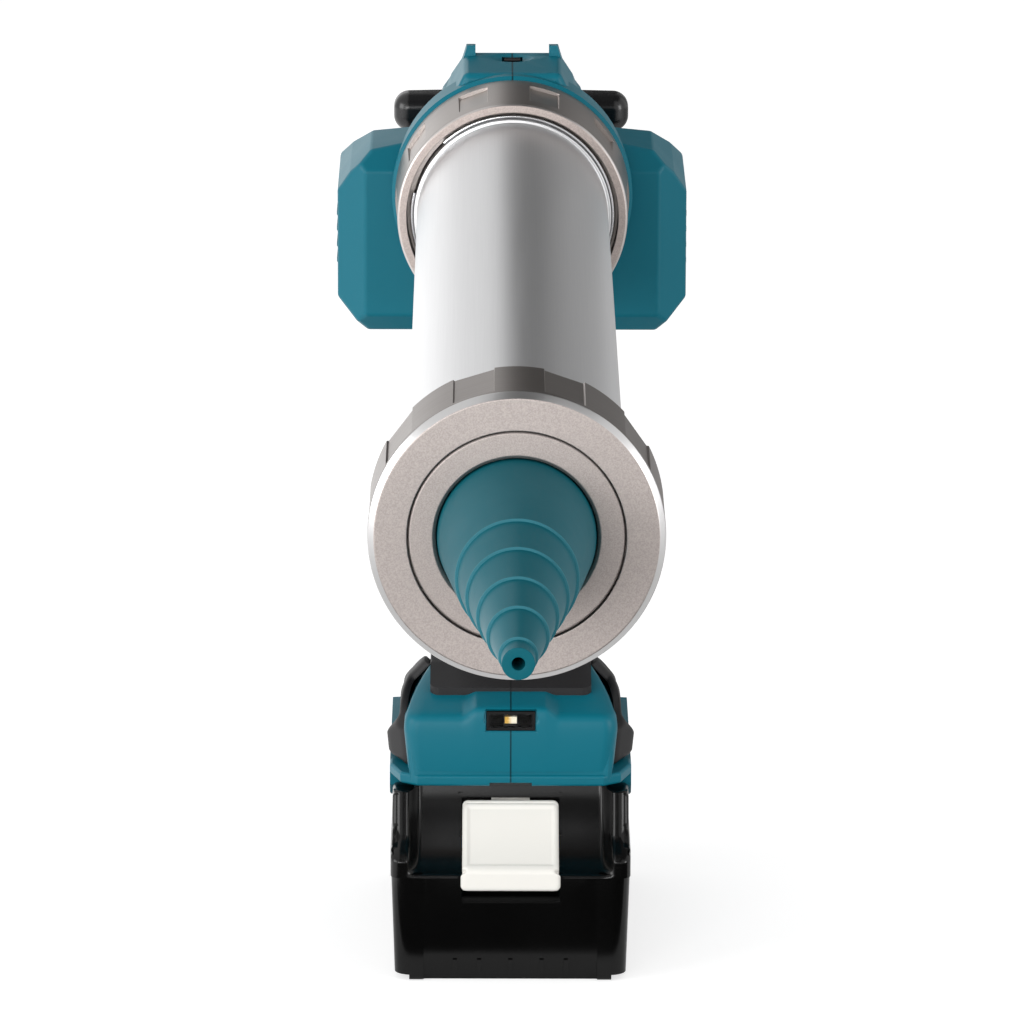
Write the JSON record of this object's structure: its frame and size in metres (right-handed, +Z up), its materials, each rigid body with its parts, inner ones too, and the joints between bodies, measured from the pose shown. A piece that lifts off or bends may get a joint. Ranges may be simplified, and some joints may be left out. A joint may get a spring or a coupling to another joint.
{
  "type": "cordless caulking tool",
  "caption": "Cordless caulking tool for foil packs: metal barrel with stepped nozzle, rack-driven piston rod, winged housing, trigger grip and slide-on battery that it stands on.",
  "frame": {"origin": "middle of the battery's underside, on the surface that the tool stands on", "axes": "-Y is the way the nozzle points, +Z is up and +X is to the viewer's right when the nozzle faces the viewer"},
  "size_m": [0.1094, 0.6643, 0.2844],
  "materials": {
    "tube_metal": "satin anodised",
    "collar_plastic": "moulded",
    "cap_metal": "satin, turned",
    "disc_metal": "fine blasted",
    "nozzle_plastic": "moulded, satin",
    "nut_metal": "brushed",
    "spring_steel": "bright wire",
    "piston_plastic": "moulded",
    "rod_steel": "machined",
    "handle_plastic": "moulded",
    "gear_steel": "machined",
    "frame_cast": "die cast",
    "bush_bronze": "sintered",
    "motor_steel": "plated",
    "shell_plastic": "fine moulded texture",
    "grip_rubber": "soft moulded elastomer",
    "control_plastic": "moulded",
    "screw_steel": "blackened",
    "board_green": "laminate",
    "lamp_chip": "phosphor",
    "lamp_lens": "clear",
    "contact_metal": "plated",
    "button_plastic": "moulded, satin",
    "battery_plastic": "moulded",
    "cell_metal": "sleeved",
    "strap_metal": "plated strip"
  },
  "bodies": {
    "housing": {"housing_left": "shell_plastic", "housing_right": "shell_plastic", "housing_screws": "screw_steel", "grip_pad_left": "grip_rubber", "grip_pad_right": "grip_rubber", "bumper_left": "grip_rubber", "bumper_right": "grip_rubber", "gear_frame": "frame_cast", "rod_bush_front": "bush_bronze", "rod_bush_rear": "bush_bronze", "gear_cover": "frame_cast", "bearing_left": "gear_steel", "bearing_right": "gear_steel", "gearbox_case": "motor_steel", "motor_can": "motor_steel", "switch_unit": "control_plastic", "dial_board": "board_green", "led_holder": "control_plastic", "led_chip": "lamp_chip", "led_lens": "lamp_lens", "control_board": "board_green", "terminal_block": "control_plastic", "terminal_blades": "contact_metal"},
    "rod": {"drive_rod": "rod_steel", "piston": "piston_plastic", "piston_screw": "screw_steel", "pull_handle": "handle_plastic", "handle_pin": "screw_steel"},
    "pinion": {"rack_pinion": "gear_steel", "pinion_shaft": "gear_steel", "spur_gear": "gear_steel"},
    "output": {"output_pinion": "gear_steel", "output_shaft": "gear_steel"},
    "rotor": {"motor_rotor": "gear_steel"},
    "barrel": {"barrel_tube": "tube_metal", "tube_collar": "collar_plastic", "spring_clip": "spring_steel"},
    "nut": {"barrel_nut": "nut_metal"},
    "nozzle_end": {"nozzle": "nozzle_plastic", "retainer_disc": "disc_metal"},
    "cap": {"front_cap": "cap_metal"},
    "trigger": {"trigger": "control_plastic"},
    "lock": {"lock_button": "control_plastic"},
    "dial": {"speed_dial": "control_plastic"},
    "battery": {"battery_tray": "battery_plastic", "battery_cover": "battery_plastic", "battery_cells": "cell_metal", "cell_straps": "strap_metal", "battery_contacts": "contact_metal"},
    "battery_button": {"battery_button": "button_plastic"}
  },
  "joints": [
    {"name": "rod_slide", "type": "slide", "parent": "housing", "child": "rod", "axis": [0, 1, 0], "range_m": [0, 0.35]},
    {"name": "pinion_turn", "type": "hinge", "parent": "housing", "child": "pinion", "pos_m": [0, 0.006, 0.2301], "axis": [1, 0, 0], "range_deg": [-2010, 5]},
    {"name": "output_turn", "type": "hinge", "parent": "housing", "child": "output", "pos_m": [0, 0.03236, 0.22051], "axis": [1, 0, 0], "range_deg": [-10, 3615]},
    {"name": "rotor_spin", "type": "hinge", "parent": "housing", "child": "rotor", "pos_m": [0, 0.03236, 0.22051], "axis": [1, 0, 0], "continuous": true},
    {"name": "barrel_slide", "type": "slide", "parent": "housing", "child": "barrel", "axis": [0, -1, 0], "range_m": [0, 0.4]},
    {"name": "nut_turn", "type": "hinge", "parent": "barrel", "child": "nut", "pos_m": [0, -0.044, 0.244], "axis": [0, 1, 0], "continuous": true},
    {"name": "nozzle_slide", "type": "slide", "parent": "barrel", "child": "nozzle_end", "axis": [0, -1, 0], "range_m": [0, 0.15]},
    {"name": "cap_turn", "type": "hinge", "parent": "nozzle_end", "child": "cap", "pos_m": [0, -0.424, 0.244], "axis": [0, 1, 0], "continuous": true},
    {"name": "trigger_pull", "type": "slide", "parent": "housing", "child": "trigger", "axis": [0, 1, 0], "range_m": [0, 0.007], "stiffness_N_per_m": 600, "springref_m": -0.005},
    {"name": "lock_push", "type": "slide", "parent": "housing", "child": "lock", "axis": [1, 0, 0], "range_m": [0, 0.003]},
    {"name": "dial_turn", "type": "hinge", "parent": "housing", "child": "dial", "pos_m": [0, 0.001, 0.272], "axis": [1, 0, 0], "range_deg": [0, 240]},
    {"name": "battery_slide", "type": "slide", "parent": "housing", "child": "battery", "axis": [0, -1, 0], "range_m": [0, 0.11]},
    {"name": "battery_release", "type": "slide", "parent": "battery", "child": "battery_button", "axis": [0, 0, -1], "range_m": [0, 0.004], "stiffness_N_per_m": 800, "springref_m": -0.003}
  ],
  "couplings": [
    {"joint": "pinion_turn", "follows": "rod_slide", "rad_per_m": -100},
    {"joint": "output_turn", "follows": "rod_slide", "rad_per_m": 180}
  ]
}
